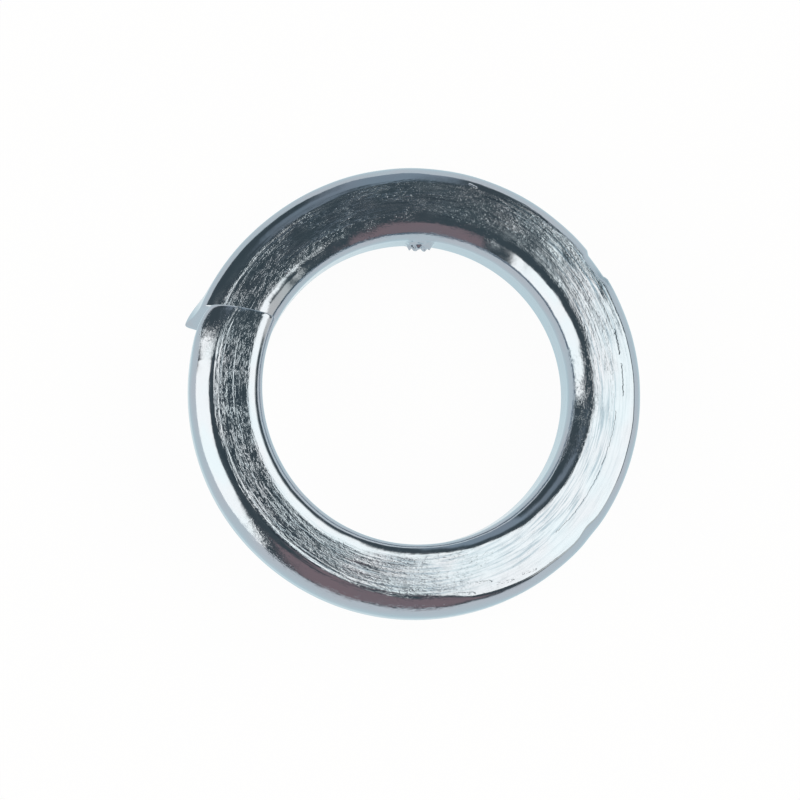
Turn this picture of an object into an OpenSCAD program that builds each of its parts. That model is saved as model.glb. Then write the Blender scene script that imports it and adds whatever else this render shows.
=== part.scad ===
// Spring lock washer: one turn of square spring wire, coiled left-handed and sheared apart.
// The origin is on the bore axis, level with the underside of the lower end. +Z runs along the
// bore, and the split faces -Y. The coil climbs clockwise, seen from above.

/* [Coil] */
// Diameter of the bore, which slides over the bolt
bore_d = 10.5; // [10.2:0.1:10.9]
// Width of the wire, from the bore out to the rim
section_w = 2.5; // [2.2:0.05:2.8]
// Thickness of the wire, measured along the bore at the middle of its width
section_t = 2.5; // [2.2:0.05:2.8]
// Height of the free washer, from the lower end's underside to the upper end's top at mid-width
free_h = 5.0; // [4.6:0.1:5.9]

/* [Wire section] */
// Radius of the lower edge on the rim side, and width of the upper one
outer_round = 0.78; // [0.4:0.02:0.95]
// Height of the upper edge on the rim side, which coiling flattened a little
outer_drop = 0.64; // [0.4:0.02:0.95]
// Radius of the upper edge on the bore side
inner_round = 0.66; // [0.3:0.02:0.8]
// Radius of the lower edge on the bore side
inner_foot = 0.5; // [0.3:0.02:0.8]
// How much thicker the wire is at the bore than at the rim, where coiling squeezed it
keystone = 0.08; // [0:0.02:0.2]
// How far the middle of the rim bulges out between its two rounded edges
rim_crown = 0.03; // [0:0.01:0.12]

/* [Split] */
// Opening between the two sheared ends, measured along the middle of the wire at one height
end_gap = 0.42; // [0.2:0.02:0.9]
// Angle of the sheared ends from the bore axis, so that the upper end overhangs the lower one
cut_lean = 14; // [0:1:20]
// How far the rim of the upper end is cut back behind its bore side, in degrees of turn
cut_skew = 2.6; // [0:0.2:4]
// How far the lower end springs out at its rim
end_spread = 0.08; // [0:0.02:0.3]
// Turn of the coil over which the lower end springs out, in degrees
spread_arc = 40; // [20:5:90]
// How far the shear drags out the bottom corner of the lower end
burr_out = 0.8; // [0:0.05:1]
// Turn of the coil over which that corner is dragged out, in degrees
burr_arc = 13; // [8:1:24]
// How far the upper end closes in at its rim
end_tuck = 0.1; // [0:0.02:0.2]
// Turn of the coil over which the upper end closes in, in degrees
tuck_arc = 60; // [30:5:90]
// How far the shear draws in the rim of the upper end at its tip
tip_draw = 0.34; // [0:0.02:0.6]
// Turn of the coil over which the upper tip is drawn in, in degrees
tip_arc = 8; // [5:1:14]
// How far the top edge of the upper end rolls down at the cut
edge_roll = 0.16; // [0:0.02:0.3]
// Turn of the coil over which that edge rolls down, in degrees
roll_arc = 3; // [2:0.5:5]

/* [Smoothness] */
// Stations along the coil between its two end zones
coil_steps = 112; // [72:8:120]
// Stations in each end zone
end_steps = 8; // [4:1:9]
// Facets on each rounded edge
round_steps = 6; // [4:1:7]

/* [Hidden] */

bore_r = bore_d / 2;
mean_r = bore_r + section_w / 2;
// Rise of the coil from its lower end to its upper end
coil_rise = free_h - section_t;
// Turn lost to the gap, and turn gained by each millimetre of height along the leaning cut
gap_turn = end_gap / mean_r * 180 / PI;
lean_turn = tan(cut_lean) / mean_r * 180 / PI;
// Turn of the coil between the middles of its two sheared ends
coil_turn = 360 - gap_turn + lean_turn * coil_rise;
// Azimuth of the lower end's middle, with the gap centred on -Y at half the free height
split_azimuth = 270;
start_azimuth = split_azimuth - gap_turn / 2 + lean_turn * coil_rise / 2;
// Turn over which a station tips from radial to the lean of the cut
lean_arc = 24;
// Turn of each end zone, where the stations lie closer
end_zone = 12;
// Angle at which the bore side meets the bore, so that the bore's wall ends in a clear edge
bore_edge_angle = 12;
// How far the blank wire reaches into the bore before the bore is cut
bore_stock = 0.15;
// Facets of the cutter for the bore
bore_fn = 180;
zinc = [0.74, 0.77, 0.80];

// Points of a rounded edge, as distance out from the bore wall and height above the wire's middle.
// Its reach is how far it runs from its centre [outward, upward].
function edge(centre, reach, from, to) = [
    for (i = [0 : round_steps])
        let (angle = from + (to - from) * i / round_steps)
        [centre[0] + reach[0] * cos(angle), centre[1] + reach[1] * sin(angle)]
];

half_t = section_t / 2;

// Outline of the wire, anticlockwise from the bore side, which bulges into the bore until that is cut
blank_outline = concat(
    [[-bore_stock, 0]],
    edge([inner_foot, inner_foot - half_t], [inner_foot, inner_foot], 180 + bore_edge_angle, 270),
    edge([section_w - outer_round, outer_round - half_t], [outer_round, outer_round], 270, 360),
    [[section_w + rim_crown, 0]],
    edge([section_w - outer_round, half_t - outer_drop], [outer_round, outer_drop], 0, 90),
    edge([inner_round, half_t - inner_round], [inner_round, inner_round], 90, 180 - bore_edge_angle)
);

// The wire is thicker towards the bore
function keyed(p) = [p[0], p[1] * (1 + keystone / section_t * (1 - 2 * p[0] / section_w))];
outline = [for (p = blank_outline) keyed(p)];
points_round = len(outline);

// Falls smoothly from 1 at the cut to 0 at the given turn away from it
function fade(turn, arc) = turn >= arc ? 0 : (1 + cos(180 * turn / arc)) / 2;
// Falls as a rounded corner does, steeply near the cut
function corner(turn, arc) = turn >= arc ? 0 : 1 - sqrt(1 - pow(1 - turn / arc, 2));

// Shares of a point that lie towards the rim, the top and the bottom of the wire
function rimward(p) = max(0, p[0] / section_w);
function upward(p) = 0.5 + p[1] / section_t;
function downward(p) = 0.5 - p[1] / section_t;

// What the shear did to a point of the outline: [outward, upward]
function sheared(p, turn) =
    let (from_lower = turn, from_upper = coil_turn - turn)
    [
        rimward(p) * (end_spread * fade(from_lower, spread_arc)
            + burr_out * fade(from_lower, burr_arc) * pow(downward(p), 3)
            - end_tuck * fade(from_upper, tuck_arc)
            - tip_draw * corner(from_upper, tip_arc) * upward(p)),
        -edge_roll * corner(from_upper, roll_arc) * pow(upward(p), 2)
    ];

// One point of the coil's skin
function skin_point(p, turn) =
    let (
        shift = sheared(p, turn),
        radius = bore_r + p[0] + shift[0],
        lower_lean = max(1 - turn / lean_arc, 0),
        upper_lean = max(1 - (coil_turn - turn) / lean_arc, 0),
        lean_angle = asin(p[1] * tan(cut_lean) * max(lower_lean, upper_lean) / radius),
        azimuth = start_azimuth - turn - lean_angle + cut_skew * rimward(p) * upper_lean
    )
    [
        radius * cos(azimuth),
        radius * sin(azimuth),
        section_t / 2 + coil_rise * turn / coil_turn + p[1] + shift[1]
    ];

// Turns of the stations, closer together in the two end zones
stations = concat(
    [for (i = [0 : end_steps - 1]) end_zone * pow(i / end_steps, 1.5)],
    [for (i = [0 : coil_steps]) end_zone + (coil_turn - 2 * end_zone) * i / coil_steps],
    [for (i = [end_steps - 1 : -1 : 0]) coil_turn - end_zone * pow(i / end_steps, 1.5)]
);
last_station = len(stations) - 1;
cap_point = [section_w / 2, 0];

// The wire as coiled and sheared, before the bore is cut true
module coiled_blank() {
    skin = [for (turn = stations) for (p = outline) skin_point(p, turn)];
    caps = [skin_point(cap_point, 0), skin_point(cap_point, coil_turn)];
    side = [
        for (s = [0 : last_station - 1]) for (k = [0 : points_round - 1])
            let (
                a = s * points_round + k,
                b = s * points_round + (k + 1) % points_round,
                c = a + points_round,
                d = b + points_round
            )
            each [[a, b, d], [a, d, c]]
    ];
    lower_cap = [
        for (k = [0 : points_round - 1])
            [len(skin), (k + 1) % points_round, k]
    ];
    upper_cap = [
        for (k = [0 : points_round - 1])
            let (first = last_station * points_round)
            [len(skin) + 1, first + k, first + (k + 1) % points_round]
    ];
    polyhedron(points = concat(skin, caps), faces = concat(side, lower_cap, upper_cap), convexity = 4);
}

module spring_washer() {
    color(zinc)
    difference() {
        coiled_blank();
        translate([0, 0, -free_h])
        cylinder(h = 3 * free_h, r = bore_r, $fn = bore_fn);
    }
}

spring_washer();
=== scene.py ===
# Spring lock washer in bright zinc plate, on a pale table under soft curved lamps.
# Lengths inside the functions are millimetres until a mesh is made. "Turn" is the way along the
# coil in degrees, from its lower end, and "out" is the distance from the bore wall to the rim.
# "Up" is the height over the middle of the wire.
import math

import bpy
import numpy as np
from mathutils import Matrix, Vector


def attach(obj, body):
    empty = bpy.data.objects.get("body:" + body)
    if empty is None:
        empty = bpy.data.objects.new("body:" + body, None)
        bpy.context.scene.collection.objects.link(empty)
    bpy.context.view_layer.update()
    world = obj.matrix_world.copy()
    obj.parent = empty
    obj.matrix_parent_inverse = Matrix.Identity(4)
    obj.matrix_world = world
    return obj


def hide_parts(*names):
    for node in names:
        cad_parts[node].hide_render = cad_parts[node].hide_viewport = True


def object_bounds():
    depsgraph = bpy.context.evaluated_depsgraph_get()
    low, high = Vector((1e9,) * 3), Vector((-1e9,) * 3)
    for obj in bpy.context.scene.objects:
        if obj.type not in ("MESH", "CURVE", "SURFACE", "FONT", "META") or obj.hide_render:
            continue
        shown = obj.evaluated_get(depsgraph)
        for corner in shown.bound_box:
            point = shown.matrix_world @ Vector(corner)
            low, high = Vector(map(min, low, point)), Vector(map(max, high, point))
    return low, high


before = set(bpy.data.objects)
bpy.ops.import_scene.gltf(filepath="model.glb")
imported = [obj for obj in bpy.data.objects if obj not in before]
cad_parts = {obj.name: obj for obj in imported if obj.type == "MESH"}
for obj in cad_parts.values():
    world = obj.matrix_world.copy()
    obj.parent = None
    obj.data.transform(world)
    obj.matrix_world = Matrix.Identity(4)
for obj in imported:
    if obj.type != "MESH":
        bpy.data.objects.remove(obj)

MM = 0.001
cad_low, cad_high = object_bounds()

# The wire and its coil, as in the part's source
BORE_R = 5.25
SECTION_W = 2.5
SECTION_T = 2.5
OUTER_ROUND = 0.78
INNER_FOOT = 0.5
KEYSTONE = 0.08
END_GAP = 0.42
CUT_LEAN = math.radians(14)
CUT_SKEW = math.radians(2.6)
END_SPREAD, SPREAD_ARC = 0.08, 40.0
BURR_ARC = 13.0
END_TUCK, TUCK_ARC = 0.1, 60.0
LEAN_ARC = 24.0
SPLIT_AZIMUTH = 270.0

# A hair less height and crown than in the source, so that the skin stays inside the part's box
FREE_H = 4.988
RIM_CROWN = 0.029
# The two ends, shaped more finely than in the source
END_OUTER_ROUND = 0.24
BURR_OUT = 0.455
BURR_AHEAD = math.radians(1.0)
TIP_DRAW, TIP_ARC = 0.24, 9.0
EDGE_ROLL, ROLL_ARC = 0.035, 1.6

HALF_T = SECTION_T / 2
MEAN_R = BORE_R + SECTION_W / 2
COIL_RISE = FREE_H - SECTION_T
GAP_TURN = math.degrees(END_GAP / MEAN_R)
LEAN_TURN = math.degrees(math.tan(CUT_LEAN) / MEAN_R)
COIL_TURN = 360 - GAP_TURN + LEAN_TURN * COIL_RISE
START_AZIMUTH = SPLIT_AZIMUTH - GAP_TURN / 2 + LEAN_TURN * COIL_RISE / 2

# Fineness of the mesh
STATIONS = 840
END_CLOSENESS = 0.5
TOP_POINTS, BOTTOM_POINTS, RIM_POINTS, WALL_POINTS, ROUND_POINTS = 22, 6, 6, 26, 13
CAP_RINGS = 7
CUT_FILLET = 0.03
FILLET_STEPS = 3

# Camera, taken from the outlines of the rim and the bore in the photograph. The least and the
# greatest distance that it sees are in metres.
CAMERA_EYE = (9.42, -5.28, 81.52)
CAMERA_RIGHT = (-0.3566, 0.9290, 0.0986)
CAMERA_UP = (-0.9275, -0.3648, 0.0825)
LENS_MM = 105.0
SENSOR_MM = 36.0
NEAREST, FARTHEST = 0.005, 5.0


def smooth(value, low, high):
    """Rises smoothly from 0 at low to 1 at high."""
    t = np.clip((value - low) / (high - low), 0, 1)
    return t * t * (3 - 2 * t)


def window(turn, start, end, soft):
    """1 between two turns of the coil, falling to 0 over the soft turn outside them."""
    return smooth(turn, start - soft, start) * (1 - smooth(turn, end, end + soft))


def swell(value, centre, reach, height=1.0):
    """A bump round the centre."""
    return height * np.exp(-((value - centre) / reach) ** 2)


def fade(turn, reach):
    """Falls smoothly from 1 at a cut to 0 at the given turn away from it."""
    return (1 + np.cos(np.pi * np.clip(turn / reach, 0, 1))) / 2


def rolled(turn, reach):
    """Falls from 1 at a cut, steadily at first, to 0 at the given turn away from it."""
    return np.clip(1 - turn / reach, 0, 1) ** 2


def along_coil(turns, table):
    """The columns of a table at the given turns, which its first column holds."""
    return [np.interp(turns, table[:, 0], column) for column in table.T[1:]]


WANDER_WAVES = 6
SHORTEST_WAVE, WAVE_SPREAD = 0.6, 1.6


def wander(turn, size, length, seed):
    """A smooth random drift along the coil, of that size, with waves about length degrees long."""
    source = np.random.default_rng(seed)
    total = np.zeros_like(turn, dtype=float)
    for _ in range(WANDER_WAVES):
        wave = length * (SHORTEST_WAVE + WAVE_SPREAD * source.random())
        total += np.sin(2 * np.pi * (turn / wave + source.random()))
    return size * total / math.sqrt(WANDER_WAVES)


# The wire's outline

# The two top edges along the coil: turn, width of the bore-side edge, width of the rim-side edge
# and the angle that one starts at. Where the top was pressed flat it starts as a crease. Towards
# the upper end's tip it is wide and low.
TOP_EDGES = np.array([
    (0, 0.82, 0.60, 0),
    (9, 0.84, 0.60, 0),
    (29, 0.76, 0.60, 0),
    (49, 0.76, 0.60, 2),
    (59, 0.80, 0.60, 4),
    (80, 0.83, 0.56, 9),
    (95, 0.83, 0.48, 16),
    (115, 0.83, 0.42, 24),
    (140, 0.84, 0.36, 32),
    (166, 0.84, 0.33, 36),
    (181, 0.79, 0.32, 37),
    (196, 0.72, 0.32, 38),
    (212, 0.64, 0.37, 37),
    (227, 0.51, 0.44, 34),
    (236, 0.46, 0.54, 30),
    (242, 0.44, 0.72, 14),
    (251, 0.42, 0.86, 2),
    (260, 0.48, 0.88, 0),
    (280, 0.62, 0.86, 0),
    (300, 0.64, 0.82, 0),
    (318, 0.60, 0.80, 0),
    (337, 0.56, 0.80, 0),
    (346, 0.54, 0.83, 0),
    (352, 0.54, 0.92, 0),
    (357, 0.56, 1.09, 0),
    (363, 0.60, 1.48, 0),
], dtype=float)

# How the widths of the two edges wander: size, length of the waves in degrees, seed
BORE_EDGE_WANDER = (0.010, 13, 3)
RIM_EDGE_WANDER = (0.012, 8, 4)
# Where each edge is wider over a short stretch: turn, reach, extra width
BORE_EDGE_SWELL = (71, 3.5, 0.06)
RIM_EDGE_SWELL = (199.5, 2.6, 0.07)

# Height of a top edge as a share of its width. On the rim side it is more past the pressed flat,
# and less towards the upper end's tip.
BORE_EDGE_DROP = 0.88
RIM_EDGE_DROP = 1
STEEP_DROP, STEEP_ALONG = 0.30, (256, 292, 34)
TIP_DROP, TIP_DROP_FROM = 0.62, 344


def top_edges(turns):
    """Widths of the two top edges and the rim-side crease, at each turn."""
    inner, outer, crease = along_coil(turns, TOP_EDGES)
    inner = inner + wander(turns, *BORE_EDGE_WANDER) + swell(turns, *BORE_EDGE_SWELL)
    outer = outer + wander(turns, *RIM_EDGE_WANDER) + swell(turns, *RIM_EDGE_SWELL)
    return inner, outer, np.radians(crease)


def rim_edge_drop(turns):
    """Height of the top edge on the rim side, as a share of its width."""
    steep = STEEP_DROP * window(turns, *STEEP_ALONG)
    return RIM_EDGE_DROP + steep - TIP_DROP * smooth(turns, TIP_DROP_FROM, COIL_TURN)


def lower_rim_edge(turns):
    """Radius of the lower edge on the rim side, which the shear left sharper at the lower end."""
    return OUTER_ROUND + (END_OUTER_ROUND - OUTER_ROUND) * fade(turns, BURR_ARC)


def arc(centre, radius, start, end, count):
    """Points of an arc, with both its ends."""
    angles = np.linspace(start, end, count + 1)
    return [(centre[0] + radius * math.cos(a), centre[1] + radius * math.sin(a)) for a in angles]


def straight(start, end, count, bulge=0.0):
    """Points between two corners, which are left out, with the middle pushed out by bulge."""
    points = []
    for i in range(1, count):
        t = i / count
        points.append((
            start[0] + (end[0] - start[0]) * t + bulge * 4 * t * (1 - t),
            start[1] + (end[1] - start[1]) * t,
        ))
    return points


# Index of the first point of the top face in an outline
TOP_START = WALL_POINTS // 2 + BOTTOM_POINTS + RIM_POINTS + 3 * ROUND_POINTS


def wire_outline(inner, outer, crease, drop, lower_rim):
    """(out, up) of the section's points, from the middle of the bore wall down and round."""
    quarter, half = math.pi / 2, math.pi
    ri, ro = INNER_FOOT, lower_rim
    outer_r = outer / (1 - math.sin(crease))
    rim_top = HALF_T - outer_r * math.cos(crease) * drop
    wall_top = HALF_T - inner * BORE_EDGE_DROP
    points = [(0.0, 0.0)]
    points += straight((0, 0), (0, ri - HALF_T), WALL_POINTS // 2)
    points += arc((ri, ri - HALF_T), ri, half, 3 * quarter, ROUND_POINTS)
    points += straight((ri, -HALF_T), (SECTION_W - ro, -HALF_T), BOTTOM_POINTS)
    points += arc((SECTION_W - ro, ro - HALF_T), ro, 3 * quarter, 4 * quarter, ROUND_POINTS)
    points += straight((SECTION_W, ro - HALF_T), (SECTION_W, rim_top), RIM_POINTS, RIM_CROWN)
    rim_edge = arc((SECTION_W - outer_r, 0), outer_r, 0, quarter - crease, ROUND_POINTS)
    points += [(out, rim_top + up * drop) for out, up in rim_edge]
    points += straight((SECTION_W - outer, HALF_T), (inner, HALF_T), TOP_POINTS)
    bore_edge = arc((inner, 0), inner, quarter, half, ROUND_POINTS)
    points += [(out, wall_top + up * BORE_EDGE_DROP) for out, up in bore_edge]
    points += straight((0, wall_top), (0, 0), WALL_POINTS // 2)
    p = np.array(points)
    p[:, 1] *= 1 + KEYSTONE / SECTION_T * (1 - 2 * p[:, 0] / SECTION_W)
    return p


def outlines(turns):
    """The section at each turn."""
    turns = np.asarray(turns, float)
    shapes = zip(*top_edges(turns), rim_edge_drop(turns), lower_rim_edge(turns))
    return np.array([wire_outline(*values) for values in shapes])


def inset(points, distance):
    """The outline drawn in by a distance, for the rounded edge of a cut."""
    ahead, behind = np.roll(points, -1, 0), np.roll(points, 1, 0)
    along = ahead - behind
    inward = np.stack([-along[:, 1], along[:, 0]], 1)
    inward /= np.linalg.norm(inward, axis=1, keepdims=True)
    return points + inward * distance


# Wear and flaws of the shape

# The lump in the bore: how far it stands out, first and last turn and how softly it ends, and the
# height of its middle and its reach
NUB_OUT = 0.24
NUB_ALONG = (69.4, 76.8, 1.6)
NUB_UP = (-0.12, 0.54)
# How much of it is there before its small lumps, and how many waves of what lengths, in radians a
# millimetre, make those up
NUB_BASE = 0.25
NUB_SEED = 5
LUMP_COUNT = 9
LUMP_WAVES = (9, 26)
LUMP_SOFTNESS = 8
HIGHEST_LUMP = 1.2
# The bore wall, as the greatest distance out and the greatest height or depth
WALL_OUT, WALL_UP = 0.03, 1.0

# The nick in the rim: depth, first and last turn and how softly it ends, and the heights and
# distances out over which it deepens
NICK_DEPTH = 0.08
NICK_ALONG = (121.8, 128.2, 1.3)
NICK_UP = (-0.3, 0.4)
NICK_OUT = (1.9, 2.35)

# Shallow dents in the top: turn, out, half length along the coil, half width across, depth
DENTS = [
    (128.8, 2.00, 0.36, 0.18, 0.010),
    (130.6, 1.90, 0.30, 0.20, 0.010),
    (347.0, 1.52, 0.10, 0.16, 0.012),
    (88.0, 1.80, 0.50, 0.16, 0.012),
    (71.5, 0.66, 0.45, 0.12, 0.016),
    (104.0, 1.30, 0.60, 0.20, 0.010),
    (117.0, 1.62, 0.35, 0.14, 0.012),
    (255.0, 1.55, 0.40, 0.12, 0.012),
    (268.0, 1.05, 0.70, 0.10, 0.012),
    (300.0, 1.30, 0.90, 0.08, 0.010),
    (322.0, 1.10, 0.80, 0.07, 0.010),
    (41.0, 1.15, 0.60, 0.14, 0.009),
]
# Dents are only in what lies higher than this
DENTED_UP = 0.4


def lumps(turn, up, seed):
    """An uneven surface about 0 to 1 high, with lumps a few tenths of a millimetre across."""
    source = np.random.default_rng(seed)
    total = np.zeros(np.broadcast(turn, up).shape)
    for _ in range(LUMP_COUNT):
        way, waves = source.uniform(0, math.pi), source.uniform(*LUMP_WAVES)
        along, height = np.radians(turn) * BORE_R * math.cos(way), up * math.sin(way)
        total = total + np.sin(waves * (along + height) + source.uniform(0, 6))
    return np.clip(0.5 + total / LUMP_SOFTNESS, 0, HIGHEST_LUMP)


def worked(out, up, turn):
    """The section's points with the lump in the bore, the nick in the rim and the dents."""
    on_wall = (out < WALL_OUT) & (np.abs(up) < WALL_UP)
    nub = window(turn, *NUB_ALONG) * swell(up, *NUB_UP)
    out = out - NUB_OUT * nub * (NUB_BASE + lumps(turn, up, NUB_SEED)) * on_wall
    nick = NICK_DEPTH * window(turn, *NICK_ALONG) * smooth(up, *NICK_UP) * smooth(out, *NICK_OUT)
    out = out - nick
    for at, across, half_l, half_w, depth in DENTS:
        along = np.radians(turn - at) * MEAN_R / half_l
        dent = depth * np.exp(-along ** 2 - ((out - across) / half_w) ** 2)
        up = up - dent * (up > DENTED_UP)
    return out, up


# The coil

def shares(out, up):
    """How far a point of the section lies towards the rim, the top and the bottom."""
    return np.maximum(0, out / SECTION_W), 0.5 + up / SECTION_T, 0.5 - up / SECTION_T


def sheared(out, up, turn):
    """What the shear did to a point of the section: shifts outward and upward."""
    lower, upper = np.maximum(turn, 0), np.maximum(COIL_TURN - turn, 0)
    rimward, upward, downward = shares(out, up)
    outward = rimward * (
        END_SPREAD * fade(lower, SPREAD_ARC)
        + BURR_OUT * fade(lower, BURR_ARC) * downward ** 3
        - END_TUCK * fade(upper, TUCK_ARC)
        - TIP_DRAW * rolled(upper, TIP_ARC) * upward
    )
    return outward, -EDGE_ROLL * rolled(upper, ROLL_ARC) * upward ** 2


def skin(out, up, turn):
    """Points of the coil's skin as an array of (x, y, z)."""
    outward, upward = sheared(out, up, turn)
    radius = BORE_R + out + outward
    lower_lean = np.clip(1 - turn / LEAN_ARC, 0, 1)
    upper_lean = np.clip(1 - (COIL_TURN - turn) / LEAN_ARC, 0, 1)
    lean = np.arcsin(up * math.tan(CUT_LEAN) * np.maximum(lower_lean, upper_lean) / radius)
    rimward, _, downward = shares(out, up)
    near_burr = fade(np.maximum(turn, 0), BURR_ARC)
    skew = CUT_SKEW * rimward * upper_lean
    skew = skew + BURR_AHEAD * rimward ** 2 * near_burr * downward ** 3
    azimuth = np.radians(START_AZIMUTH - turn) - lean + skew
    z = HALF_T + COIL_RISE * turn / COIL_TURN + up + upward
    return np.stack([radius * np.cos(azimuth), radius * np.sin(azimuth), z + 0 * radius], -1)


def station_turns():
    """Turns of the stations, closer together near the two cuts."""
    t = np.linspace(0, 1, STATIONS + 1)
    close = END_CLOSENESS / (2 * np.pi)
    return COIL_TURN * (t - close * np.sin(2 * np.pi * t))


def washer_rows():
    """Rows of section points, from the lower cut's middle to the upper cut's, and their turns."""
    cap_scale = [(i + 1) / (CAP_RINGS + 1) for i in range(CAP_RINGS)]
    rounded = [math.pi / 2 * (i / FILLET_STEPS) for i in range(FILLET_STEPS)]
    fillet_turn = math.degrees(CUT_FILLET / MEAN_R)
    middle = np.array([SECTION_W / 2, 0.0])
    low_base, high_base = outlines([0, COIL_TURN])

    def cut_rows(base):
        """Rows of one cut and their turns from it: its flat, then its rounded edge."""
        edge = inset(base, CUT_FILLET)
        rows = [(middle + (edge - middle) * s, 0.0) for s in cap_scale]
        for a in rounded:
            rows.append((inset(base, CUT_FILLET * (1 - math.sin(a))), fillet_turn * (1 - math.cos(a))))
        return rows

    stations = station_turns()
    stations = stations[(stations > fillet_turn) & (stations < COIL_TURN - fillet_turn)]
    low, high = cut_rows(low_base), cut_rows(high_base)
    rows = [row for row, _ in low] + list(outlines(stations)) + [row for row, _ in reversed(high)]
    turns = [t for _, t in low] + list(stations) + [COIL_TURN - t for _, t in reversed(high)]
    return np.array(rows), np.array(turns)[:, None]


# Sheet of the skin that the materials are laid out on, in millimetres. The top face lies the same
# way all along the coil, with its rim side at TOP_LINE. The two cuts lie beside the coil.
SHEET_W, SHEET_H = 48.0, 9.6
SHEET_START = 0.3
TOP_LINE = 5.6
LOWER_CUT_AT, UPPER_CUT_AT = 42.0, 45.2


def on_sheet(turn, out):
    """Where a point of the top face lies on the sheet."""
    return math.radians(turn) * MEAN_R + SHEET_START, TOP_LINE + SECTION_W - out


def sheet_heights(rows):
    """Height on the sheet of each section point, and of the first one again at the end."""
    step = np.linalg.norm(np.roll(rows, -1, 1) - rows, axis=2)
    lengths = np.concatenate([np.zeros((len(rows), 1)), np.cumsum(step, 1)], 1)
    on_top = lengths[:, TOP_START:TOP_START + 1]
    return lengths - on_top + TOP_LINE + SECTION_W - rows[:, TOP_START, 0][:, None]


def make_mesh(name, points, faces):
    mesh = bpy.data.meshes.new(name)
    mesh.from_pydata([tuple(p) for p in points], [], faces)
    mesh.update()
    obj = bpy.data.objects.new(name, mesh)
    bpy.context.scene.collection.objects.link(obj)
    return obj


def set_mark(obj, name, values):
    """Values on the mesh's points, which a material reads by that name."""
    mark = obj.data.attributes.new(name, "FLOAT", "POINT")
    mark.data.foreach_set("value", np.asarray(values, np.float32))


def washer_faces(n_rows, n_round):
    """Faces of the skin with the (row, place) of each, and the fans that close the two cuts."""
    quads, quad_rows = [], []
    for r in range(n_rows - 1):
        for k in range(n_round):
            a, b = r * n_round + k, r * n_round + (k + 1) % n_round
            quads.append((a, b, b + n_round, a + n_round))
            quad_rows.append((r, k))
    low_middle, high_middle = n_rows * n_round, n_rows * n_round + 1
    last = (n_rows - 1) * n_round
    fans = [(low_middle, (k + 1) % n_round, k) for k in range(n_round)]
    fans += [(high_middle, last + k, last + (k + 1) % n_round) for k in range(n_round)]
    return quads, quad_rows, fans


def lay_on_sheet(washer, rows, turns, quad_rows, fans):
    """Lays the skin out on its sheet: the coil as a strip, with the two cuts beside it."""
    n_rows, n_round = rows.shape[:2]
    heights = sheet_heights(rows)
    along = np.radians(turns[:, 0]) * MEAN_R + SHEET_START
    places = []
    for r, k in quad_rows:
        if r < CAP_RINGS - 1 or r >= n_rows - CAP_RINGS:
            at = LOWER_CUT_AT if r < CAP_RINGS else UPPER_CUT_AT
            corners = ((r, k), (r, (k + 1) % n_round), (r + 1, (k + 1) % n_round), (r + 1, k))
            places += [(at + rows[c][0], HALF_T + rows[c][1]) for c in corners]
        else:
            corners = ((r, k), (r, k + 1), (r + 1, k + 1), (r + 1, k))
            places += [(along[c[0]], heights[c]) for c in corners]
    for f, fan in enumerate(fans):
        at, row = (LOWER_CUT_AT, 0) if f < n_round else (UPPER_CUT_AT, n_rows - 1)
        for v in fan:
            if v >= n_rows * n_round:
                places.append((at + SECTION_W / 2, HALF_T))
            else:
                out, up = rows[row, v % n_round]
                places.append((at + out, HALF_T + up))
    uv = np.array(places) / (SHEET_W, SHEET_H)
    layer = washer.data.uv_layers.new(name="sheet")
    layer.data.foreach_set("uv", uv.astype(np.float32).ravel())


def build_washer():
    rows, turns = washer_rows()
    out, up = worked(rows[..., 0], rows[..., 1], turns)
    points = skin(out, up, turns) * MM
    middles = [skin(np.array(SECTION_W / 2), np.array(0.0), np.array(t)) * MM for t in (0.0, COIL_TURN)]
    quads, quad_rows, fans = washer_faces(*rows.shape[:2])
    all_points = np.concatenate([points.reshape(-1, 3), middles])
    washer = make_mesh("spring_washer_body", all_points, quads + fans)
    lay_on_sheet(washer, rows, turns, quad_rows, fans)
    washer.data.shade_smooth()
    mark_skin(washer, rows, turns)
    return washer


# How the skin differs along the coil: turn, depth of the drawn lines, of the pits, how much the
# plate is darkened along the lines, partly their own tone and partly painted shade, and how dull
# the plate is
SKIN_ALONG = np.array([
    (0, 1.05, 0.95, 0.6, 0.2),
    (50, 1.10, 0.95, 0.6, 0.4),
    (75, 1.05, 0.90, 0.6, 0.5),
    (92, 0.80, 0.70, 0.7, 0.4),
    (112, 0.50, 0.65, 0.8, 0.2),
    (128, 0.60, 0.75, 1.0, 0.0),
    (145, 0.45, 0.45, 1.0, 0.0),
    (170, 0.35, 0.22, 1.0, 0.0),
    (215, 0.35, 0.22, 1.0, 0.0),
    (232, 0.50, 0.55, 0.7, 0.0),
    (250, 0.85, 0.85, 0.9, 0.0),
    (268, 1.00, 0.90, 0.9, 0.0),
    (345, 0.90, 0.90, 0.7, 0.0),
    (353, 0.75, 0.75, 0.6, 0.2),
    (358, 0.45, 0.50, 0.5, 0.4),
    (361, 0.20, 0.20, 0.3, 0.4),
], dtype=float)

# Crest of the ridge that coiling left along the top near the rim: turn, out, and its height share
RIDGE_PATH = np.array([
    (0, 1.84, 1.5),
    (10, 1.84, 1.5),
    (22, 1.82, 1.4),
    (36, 1.84, 0.9),
    (50, 1.86, 0.2),
    (75, 1.88, 0.0),
    (240, 1.90, 0.0),
    (256, 1.80, 0.3),
    (263, 1.74, 0.6),
    (280, 1.60, 0.9),
    (295, 1.55, 1.0),
    (304, 1.54, 1.0),
    (313, 1.55, 1.0),
    (327, 1.58, 1.0),
    (337, 1.58, 1.2),
    (346, 1.59, 1.5),
    (352, 1.60, 1.6),
    (362, 1.58, 1.6),
], dtype=float)

# Where the marked face fades in, as shares of the bore-side edge's width
FACE_FROM, FACE_FULL = 0.7, 1.05
# Where it fades out, before and after the start of the rim-side edge, and how near to the rim
# that start may lie
FACE_BEFORE, FACE_AFTER, RIM_MARGIN = 0.04, 0.16, 0.3
# How far above or below the middle of the wire the top and the underside take their marks
FLATS_FROM, FLATS_FULL = HALF_T - 0.3, HALF_T - 0.04
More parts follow.
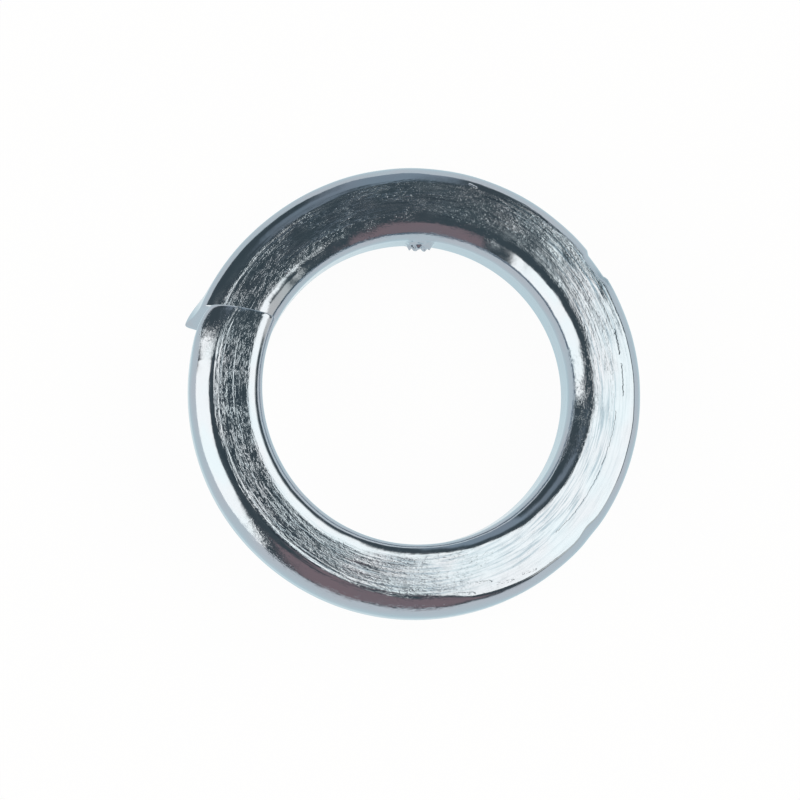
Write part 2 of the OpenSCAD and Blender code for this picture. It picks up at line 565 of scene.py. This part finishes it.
# The band near the rim that was pressed flat: along the coil, out, how much of the lines and the
# pits the pressing took away, and how much less painted shade the band gets
PRESSED_ALONG, PRESSED_OUT = (150, 232, 12), (1.50, 1.66)
LINES_PRESSED, PITS_PRESSED, SHADE_PRESSED = 0.5, 0.6, 0.75
# Pitted stretches of the two rounded edges: first turn, last turn, how softly it ends, depth
WORN_BORE_EDGE = [(27, 96, 5, 0.5), (150, 182, 8, 0.7)]
WORN_RIM_EDGE = [(246, 296, 12, 0.6), (353, 358, 8, 0.8)]
# Distances out over which those stretches fade at the bore, past the flat and at the rim
BORE_EDGE_STARTS, RIM_EDGE_FULL, RIM_EDGE_ENDS = (0.02, 0.15), 0.2, (2.35, 2.5)
# A rough patch beside the nick, pitted and darkened with painted shade, and a spot at its end,
# pitted and darkened more strongly with painted shade
PATCH_ALONG, PATCH_OUT, PATCH_PITS = (98, 127, 8), (1.45, 1.75), 0.5
SHADED_SPOT_ALONG, SHADED_SPOT_OUT, SPOT_PAINTED_SHADE = (129.3, 3.2), (1.60, 1.85), 1.6
# The foot of the ridge on the rim side is smooth: how much, from which height shares, and where
FOOT_SMOOTH, FOOT_SHARES, FOOT_OUT = 0.9, (0.3, 0.6), (0.02, 0.11)
# Distance from the crest that is given to what isn't on top
FAR_FROM_CREST = 1.0


def wear(turns, stretches):
    """How deep an edge is pitted along the coil."""
    return sum(window(turns, first, last, soft) * depth for first, last, soft, depth in stretches)


def mark_skin(washer, rows, turns):
    """Marks on the mesh that its material reads: where the skin is drawn, pitted and ridged, and where
    shade is painted on it.
    """
    out, up = rows[..., 0], rows[..., 1]
    inner, outer, _ = top_edges(turns)
    lines, pits, shade, dull = along_coil(turns, SKIN_ALONG)
    crest, share = along_coil(turns, RIDGE_PATH)
    above = up > 0

    flat_out = np.minimum(SECTION_W - outer, SECTION_W - RIM_MARGIN)
    on_flat = smooth(out, inner * FACE_FROM, inner * FACE_FULL)
    face = on_flat * (1 - smooth(out, flat_out - FACE_BEFORE, flat_out + FACE_AFTER))
    face = face * smooth(np.abs(up), FLATS_FROM, FLATS_FULL)
    pressed = window(turns, *PRESSED_ALONG) * smooth(out, *PRESSED_OUT)
    bore_edge = above * smooth(out, *BORE_EDGE_STARTS) * (1 - on_flat)
    rim_edge = above * smooth(out, flat_out, flat_out + RIM_EDGE_FULL) * (1 - smooth(out, *RIM_EDGE_ENDS))
    worn = bore_edge * wear(turns, WORN_BORE_EDGE) + rim_edge * wear(turns, WORN_RIM_EDGE)
    patch = window(turns, *PATCH_ALONG) * smooth(out, *PATCH_OUT)
    # The spot at the patch's end: pits, and painted shade
    shaded_spot = swell(turns, *SHADED_SPOT_ALONG) * smooth(out, *SHADED_SPOT_OUT) * above
    foot = smooth(share, *FOOT_SHARES) * smooth(out - crest, *FOOT_OUT)
    textured = 1 - FOOT_SMOOTH * foot

    face_pits = pits * face * (1 - PITS_PRESSED * pressed) + PATCH_PITS * patch * face
    # Painted shade, with the lines' own darker tone: along the lines, on the rough patch and on the spot
    face_shade = shade * face * (1 - SHADE_PRESSED * pressed) + patch * face
    marks = {
        "lines": lines * face * (1 - LINES_PRESSED * pressed) * textured,
        "pits": face_pits * textured + worn + shaded_spot,
        "shade": face_shade + SPOT_PAINTED_SHADE * shaded_spot,
        "dull": dull * face,
        "from_crest": np.where(above, out - crest, FAR_FROM_CREST),
        "ridge": share + 0 * out,
    }
    for name, values in marks.items():
        set_mark(washer, name, np.concatenate([values.ravel(), [0, 0]]))


# Materials

class Nodes:
    """Short calls that add nodes to a material or world and join them."""

    def __init__(self, owner):
        owner.use_nodes = True
        self.tree = owner.node_tree
        self.tree.nodes.clear()

    def add(self, kind, inputs=None, **settings):
        node = self.tree.nodes.new(kind)
        for key, value in settings.items():
            setattr(node, key, value)
        for key, value in (inputs or {}).items():
            if isinstance(value, bpy.types.NodeSocket):
                self.tree.links.new(value, node.inputs[key])
            else:
                node.inputs[key].default_value = value
        return node

    def math(self, operation, *values):
        node = self.add("ShaderNodeMath", dict(enumerate(values)), operation=operation)
        return node.outputs[0]

    def vector(self, operation, output, *values):
        node = self.add("ShaderNodeVectorMath", dict(enumerate(values)), operation=operation)
        return node.outputs[output]

    def scaled(self, vector, scale):
        node = self.add("ShaderNodeVectorMath", {"Vector": vector, "Scale": scale}, operation="SCALE")
        return node.outputs[0]

    def mix(self, share, first, second):
        node = self.add("ShaderNodeMix", {0: share, 6: first, 7: second}, data_type="RGBA")
        return node.outputs[2]

    def ramp(self, value, low, high, to_low=0.0, to_high=1.0):
        inputs = {"Value": value, "From Min": low, "From Max": high, "To Min": to_low, "To Max": to_high}
        return self.add("ShaderNodeMapRange", inputs, interpolation_type="SMOOTHSTEP").outputs[0]

    def mark(self, name):
        return self.add("ShaderNodeAttribute", attribute_name=name).outputs["Fac"]

    def noise(self, vector, stretch, detail=2.0, rough=0.5, shift=0.0):
        """Noise on the sheet, with so many waves a millimetre along and across the wire."""
        placed = self.add("ShaderNodeMapping", {
            "Vector": vector,
            "Scale": (stretch[0], stretch[1], 1.0),
            "Location": [shift * part for part in NOISE_SHIFT],
        })
        return self.add("ShaderNodeTexNoise", {
            "Vector": placed.outputs[0], "Scale": 1.0, "Detail": detail, "Roughness": rough,
        }).outputs["Fac"]

    def stroke(self, sheet, start, end, width, height):
        """Height of a ridge, or of a scratch if negative, between two (turn, out) of the top."""
        a, b = on_sheet(*start), on_sheet(*end)
        length = math.dist(a, b)
        way = ((b[0] - a[0]) / length, (b[1] - a[1]) / length, 0)
        offset = self.vector("SUBTRACT", 0, sheet, (*a, 0))
        along = self.vector("DOT_PRODUCT", 1, offset, way)
        along = self.add("ShaderNodeClamp", {"Value": along, "Min": 0.0, "Max": length}).outputs[0]
        away = self.vector("DISTANCE", 1, offset, self.scaled(way, along))
        return self.ramp(away, width * STROKE_CORE, width, height, 0.0)

    def output(self, shader, kind="ShaderNodeOutputMaterial"):
        self.add(kind, {"Surface": shader})


# Single scratches and ridges of the top: where they start and end (turn, out), width, height
STROKES = [
    # Long dark scratches of the bright side
    ((142.8, 1.81), (149.2, 1.78), 0.07, -0.005),
    ((152.6, 1.77), (161.0, 1.755), 0.07, -0.004),
    ((166.0, 1.55), (182.0, 1.50), 0.03, -0.003),
    ((184.0, 1.50), (206.0, 1.44), 0.03, -0.003),
    # Slanting scratches of the tool near the end of the pressed flat
    ((216.8, 1.99), (220.6, 1.88), 0.05, -0.004),
    ((223.6, 1.93), (228.2, 1.80), 0.05, -0.004),
    ((229.4, 1.65), (233.8, 1.55), 0.05, -0.004),
    ((234.8, 1.86), (239.6, 1.73), 0.05, -0.004),
    # Flecks that catch the light
    ((122.0, 0.95), (123.7, 0.82), 0.045, 0.010),
    ((84.8, 2.10), (86.4, 2.06), 0.06, 0.016),
    ((22.2, 0.69), (23.6, 0.68), 0.07, 0.014),
]
# Share of a stroke's width that has its full height
STROKE_CORE = 0.15
# Way in which the shift of a noise moves it
NOISE_SHIFT = (1.0, 0.7, 0.3)

# Noises on the sheet: waves a millimetre along and across the wire, fineness and place
PLATING_WAVES = dict(stretch=(2.2, 3.4), detail=2.0, shift=9.0)
LINE_BANDS = dict(stretch=(0.20, 3.2), detail=2.0, shift=1.5)
BROAD_LINES = dict(stretch=(0.35, 8.0), detail=3.0, rough=0.6, shift=3.0)
FINE_LINES = dict(stretch=(1.4, 21.0), detail=2.0, shift=6.0)
PIT_CLUSTERS = dict(stretch=(0.8, 2.6), detail=3.0, shift=12.0)
PIT_GRAIN = dict(stretch=(6.5, 21.0), detail=2.0, rough=0.6, shift=15.0)
COLOUR_DRIFT = dict(stretch=(0.5, 0.9), detail=2.0, shift=20.0)
# Streaks of darker zinc: partly the drawn lines' own tone, partly painted shade
LINE_TONE_AND_SHADE = dict(stretch=(0.7, 13.0), detail=4.0, rough=0.65, shift=30.0)
SHEEN = dict(stretch=(2.5, 5.0), detail=3.0, shift=5.0)
RIDGE_BREAKS = dict(stretch=(0.9, 9.0), detail=3.0, rough=0.6, shift=40.0)

# How a noise is spread: from its low and high value to the two that follow, or to 0 and 1
BAND_SPREAD = (0.38, 0.62, 0.30, 1.0)
CLUSTER_SPREAD = (0.30, 0.62, 0.2, 1.0)
GRAIN_SPREAD = (0.42, 0.80)
DRIFT_SPREAD = (0.35, 0.65)
DARK_SPREAD = (0.42, 0.70)
BREAK_SPREAD = (0.34, 0.58, 0.45, 1.0)
# The last two are the least and the greatest roughness of the plate
SHEEN_SPREAD = (0.3, 0.7, 0.07, 0.15)

# Heights of the texture, in millimetres
PLATING_RISE = 0.005
BROAD_RISE = 0.015
FINE_RISE = 0.0038
GRAIN_RISE = 0.0065
RIDGE_RISE = 0.010
# Reach of the ridge's two sides, and place, reach and height share of the fine crest beside it
RIDGE_INSIDE, RIDGE_OUTSIDE = 0.10, 0.11
SECOND_AT, SECOND_REACH, SECOND_SHARE = 0.15, (0.008, 0.045), 0.35
# How shaky the single strokes are: waves a millimetre, and distance
SHAKE_WAVES, SHAKE_OUT = 11.0, 0.10

# Greatest share of the darker zinc along the lines, partly their own tone and partly painted shade,
# and roughness that a full dull mark adds
DARKEST = 0.9
DULL_ROUGHNESS = 0.09
ZINC = (0.41, 0.485, 0.545, 1.0)
ZINC_WARM = (0.43, 0.475, 0.53, 1.0)
# Darker zinc for the lines' own tone and for painted shade
ZINC_LINE_TONE_AND_SHADE = (0.20, 0.275, 0.335, 1.0)
ZINC_GRAZING = (0.80, 0.94, 0.98, 1.0)


def drawn_lines(n, sheet):
    """Lines of the drawn wire, which lie in bands."""
    bands = n.ramp(n.noise(sheet, **LINE_BANDS), *BAND_SPREAD)
    broad = n.math("MULTIPLY", n.noise(sheet, **BROAD_LINES), BROAD_RISE)
    fine = n.math("MULTIPLY", n.noise(sheet, **FINE_LINES), FINE_RISE)
    return n.math("MULTIPLY", n.math("ADD", broad, fine), n.math("MULTIPLY", bands, n.mark("lines")))


def pitting(n, sheet):
    """Grain of small lumps and pits, in clusters."""
    clusters = n.ramp(n.noise(sheet, **PIT_CLUSTERS), *CLUSTER_SPREAD)
    grain = n.ramp(n.noise(sheet, **PIT_GRAIN), *GRAIN_SPREAD)
    grain = n.math("MULTIPLY", grain, n.math("MULTIPLY", clusters, n.mark("pits")))
    return n.math("MULTIPLY", grain, GRAIN_RISE)


def ridge_height(n, sheet):
    """The ridge near the rim: a rise on its bore side, a fall on its rim side, and a fine second
    crest beside it."""
    away, share = n.mark("from_crest"), n.mark("ridge")
    broken = n.ramp(n.noise(sheet, **RIDGE_BREAKS), *BREAK_SPREAD)
    share = n.math("MULTIPLY", share, broken)
    inside = n.ramp(away, -RIDGE_INSIDE, 0.0, 0.0, RIDGE_RISE)
    outside = n.ramp(away, 0.0, RIDGE_OUTSIDE, 0.0, -RIDGE_RISE)
    from_second = n.math("ABSOLUTE", n.math("ADD", away, SECOND_AT))
    second = n.ramp(from_second, *SECOND_REACH, SECOND_SHARE * RIDGE_RISE, 0.0)
    total = n.math("ADD", n.math("ADD", inside, outside), second)
    return n.math("MULTIPLY", total, share)


def single_strokes(n, sheet):
    """Heights of the single scratches, ridges and flecks, drawn with a shaky hand."""
    shaky = n.add("ShaderNodeTexNoise", {"Vector": sheet, "Scale": SHAKE_WAVES, "Detail": 2.0})
    shake = n.vector("SUBTRACT", 0, shaky.outputs["Color"], (0.5, 0.5, 0.5))
    shake = n.vector("MULTIPLY", 0, shake, (SHAKE_OUT, SHAKE_OUT, 0))
    shaken = n.vector("ADD", 0, sheet, shake)
    return [n.stroke(shaken, *stroke) for stroke in STROKES]


def plate_height(n, sheet):
    """Waves of the plating, then the drawn lines, the pits, the ridge and the single strokes."""
    height = n.math("MULTIPLY", n.noise(sheet, **PLATING_WAVES), PLATING_RISE)
    parts = [drawn_lines(n, sheet), pitting(n, sheet), ridge_height(n, sheet)]
    for part in parts + single_strokes(n, sheet):
        height = n.math("ADD", height, part)
    return height


def plate_colour(n, sheet):
    """Blue-white zinc that drifts a little, darker along its drawn lines, partly from their own tone and
    partly from painted shade.
    """
    drift = n.ramp(n.noise(sheet, **COLOUR_DRIFT), *DRIFT_SPREAD)
    dark = n.ramp(n.noise(sheet, **LINE_TONE_AND_SHADE), *DARK_SPREAD)
    # Painted shade, with the lines' own darker tone, where the shade mark lies
    dark = n.math("MULTIPLY", dark, n.math("MULTIPLY", n.mark("shade"), DARKEST))
    return n.mix(dark, n.mix(drift, ZINC, ZINC_WARM), ZINC_LINE_TONE_AND_SHADE)


def plate_roughness(n, sheet):
    sheen = n.ramp(n.noise(sheet, **SHEEN), *SHEEN_SPREAD)
    return n.math("ADD", sheen, n.math("MULTIPLY", n.mark("dull"), DULL_ROUGHNESS))


def zinc_plate():
    material = bpy.data.materials.new("zinc_plate")
    n = Nodes(material)
    uv = n.add("ShaderNodeUVMap", uv_map="sheet").outputs[0]
    sheet = n.vector("MULTIPLY", 0, uv, (SHEET_W, SHEET_H, 0))
    bump = n.add("ShaderNodeBump", {
        "Height": plate_height(n, sheet), "Distance": MM, "Strength": 1.0,
    })
    shader = n.add("ShaderNodeBsdfPrincipled", {
        "Base Color": plate_colour(n, sheet),
        "Metallic": 1.0,
        "Roughness": plate_roughness(n, sheet),
        "Normal": bump.outputs[0],
        "Specular Tint": ZINC_GRAZING,
    })
    n.output(shader.outputs[0])
    return material


# Table, lamps and camera. The table and the lamps are laid out in metres.

def camera_axes():
    """Directions to the picture's right and top, and back to the camera."""
    right, up = Vector(CAMERA_RIGHT).normalized(), Vector(CAMERA_UP)
    up = (up - right * up.dot(right)).normalized()
    return right, up, right.cross(up)


def place_camera():
    right, up, back = camera_axes()
    data = bpy.data.cameras.new("camera")
    data.lens, data.sensor_width = LENS_MM, SENSOR_MM
    data.clip_start, data.clip_end = NEAREST, FARTHEST
    camera = bpy.data.objects.new("camera", data)
    pose = Matrix((right, up, back)).transposed().to_4x4()
    pose.translation = Vector(CAMERA_EYE) * MM
    camera.matrix_world = pose
    bpy.context.scene.collection.objects.link(camera)
    bpy.context.scene.camera = camera


def seen_directly(n):
    """1 for what the camera sees, straight or mirrored in the metal."""
    path = n.add("ShaderNodeLightPath").outputs
    seen = n.math("MAXIMUM", path["Is Camera Ray"], path["Is Glossy Ray"])
    return n.math("MAXIMUM", seen, path["Is Transmission Ray"])


FLOOR_SIZE = 3.0
FLOOR_GAP = 0.00001
FLOOR_COLOUR = (0.97, 0.97, 0.97, 1.0)
FLOOR_WHITE_SHARE = 0.95
WHITE = (1, 1, 1, 1)
ROOM_LEVEL = 0.45


def floor_material():
    material = bpy.data.materials.new("table_white")
    n = Nodes(material)
    lit = n.add("ShaderNodeBsdfDiffuse", {"Color": FLOOR_COLOUR})
    white = n.add("ShaderNodeEmission", {"Color": WHITE, "Strength": 1.0})
    share = n.math("MULTIPLY", seen_directly(n), FLOOR_WHITE_SHARE)
    n.output(n.add("ShaderNodeMixShader", {0: share, 1: lit.outputs[0], 2: white.outputs[0]}).outputs[0])
    return material


def place_floor():
    s, z = FLOOR_SIZE / 2, cad_low.z - FLOOR_GAP
    floor = make_mesh("table", [(-s, -s, z), (s, -s, z), (s, s, z), (-s, s, z)], [(0, 1, 2, 3)])
    floor.data.materials.append(floor_material())


def place_world():
    world = bpy.data.worlds.new("room")
    bpy.context.scene.world = world
    n = Nodes(world)
    plain = n.add("ShaderNodeBackground", {"Color": WHITE, "Strength": ROOM_LEVEL})
    white = n.add("ShaderNodeBackground", {"Color": WHITE, "Strength": 1.0})
    shader = n.add("ShaderNodeMixShader", {0: seen_directly(n), 1: plain.outputs[0], 2: white.outputs[0]})
    n.output(shader.outputs[0], "ShaderNodeOutputWorld")


def glow_material(name, colour, strength):
    """Light that fades out towards the edges of its panel."""
    material = bpy.data.materials.new(name)
    n = Nodes(material)
    clear = n.add("ShaderNodeBsdfTransparent")
    light = n.add("ShaderNodeEmission", {"Color": (*colour, 1), "Strength": strength})
    mixed = n.add("ShaderNodeMixShader", {0: n.mark("glow"), 1: clear.outputs[0], 2: light.outputs[0]})
    n.output(mixed.outputs[0])
    return material


PANEL_COLUMNS, PANEL_ROWS = 61, 45


def sky_panel(name, sides, tilts, radius, colour, strength, soft, slant=(0, 0), lights=True):
    """A curved panel above the washer. Sides are its azimuths in the picture, 0 to the right and
    90 up, and tilts are its angles from the line of sight. Slant moves the two sides by so many
    degrees from the first tilt to the last. Soft is how wide the sides, the first tilt and the
    last tilt fade."""
    right, up, back = camera_axes()
    points, glow, faces = [], [], []
    whole_turn = sides[1] - sides[0] >= 360
    for i in range(PANEL_ROWS):
        for j in range(PANEL_COLUMNS):
            v, w = i / (PANEL_ROWS - 1), j / (PANEL_COLUMNS - 1)
            first, last = sides[0] + slant[0] * v, sides[1] + slant[1] * v
            tilt = math.radians(tilts[0] + (tilts[1] - tilts[0]) * v)
            side = math.radians(first + (last - first) * w)
            flat = math.cos(side) * right + math.sin(side) * up
            points.append((math.sin(tilt) * flat + math.cos(tilt) * back) * radius)
            to_side = min(w, 1 - w) * (last - first) * math.sin(tilt)
            by_side = 1.0 if whole_turn else float(smooth(to_side, 0, soft[0]))
            by_first = float(smooth(v * (tilts[1] - tilts[0]), 0, soft[1])) if soft[1] else 1.0
            by_last = float(smooth((1 - v) * (tilts[1] - tilts[0]), 0, soft[2]))
            glow.append(by_side * by_first * by_last)
    for i in range(PANEL_ROWS - 1):
        for j in range(PANEL_COLUMNS - 1):
            a = i * PANEL_COLUMNS + j
            faces.append((a, a + 1, a + PANEL_COLUMNS + 1, a + PANEL_COLUMNS))
    panel = make_mesh(name, points, faces)
    set_mark(panel, "glow", glow)
    panel.data.materials.append(glow_material(name + "_glow", colour, strength))
    panel.visible_camera = False
    panel.visible_shadow = False
    panel.visible_diffuse = lights


SLATE = (0.088, 0.112, 0.124)
PALE_SLATE = (0.36, 0.41, 0.46)
BROWN = (0.37, 0.265, 0.275)
WARM_WHITE = (1.0, 0.945, 0.875)
DARK_LEVEL = 1.0
PATCH_LEVEL, PALE_LOW_LEVEL = 0.85, 1.1
LAMP_LEVEL, LOW_LEVEL = 2.05, 1.0


def place_lights():
    # A dark ceiling round the camera, paler towards the picture's top and brown towards its bottom
    sky_panel("ceiling", (0, 360), (0, 89), 0.62, SLATE, DARK_LEVEL, (0, 0, 6), lights=False)
    sky_panel("pale_patch", (84, 127), (20, 58), 0.59, PALE_SLATE, PATCH_LEVEL, (9, 10, 12), lights=False)
    sky_panel("pale_low", (72, 114), (38, 90), 0.585, PALE_SLATE, PALE_LOW_LEVEL, (12, 12, 4),
              lights=False)
    sky_panel("brown_side", (238, 304), (17, 82), 0.58, BROWN, DARK_LEVEL, (7, 6, 5), lights=False)
    # Two lamps beside the camera, and a dimmer glow low on the right
    sky_panel("right_lamp", (-45, 61), (13.5, 70), 0.50, WARM_WHITE, LAMP_LEVEL, (5, 8, 15),
              slant=(35, -3))
    sky_panel("low_glow", (-44, -8), (42, 89), 0.51, WARM_WHITE, LOW_LEVEL, (6, 6, 3))
    sky_panel("left_lamp", (142, 232), (14, 88), 0.50, WARM_WHITE, LAMP_LEVEL, (5, 5, 4), slant=(28, 0))


washer = build_washer()
washer.data.materials.append(zinc_plate())
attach(washer, "root")
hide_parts("spring_washer")

place_floor()
place_world()
place_lights()
place_camera()
bpy.context.scene.view_settings.view_transform = "Standard"
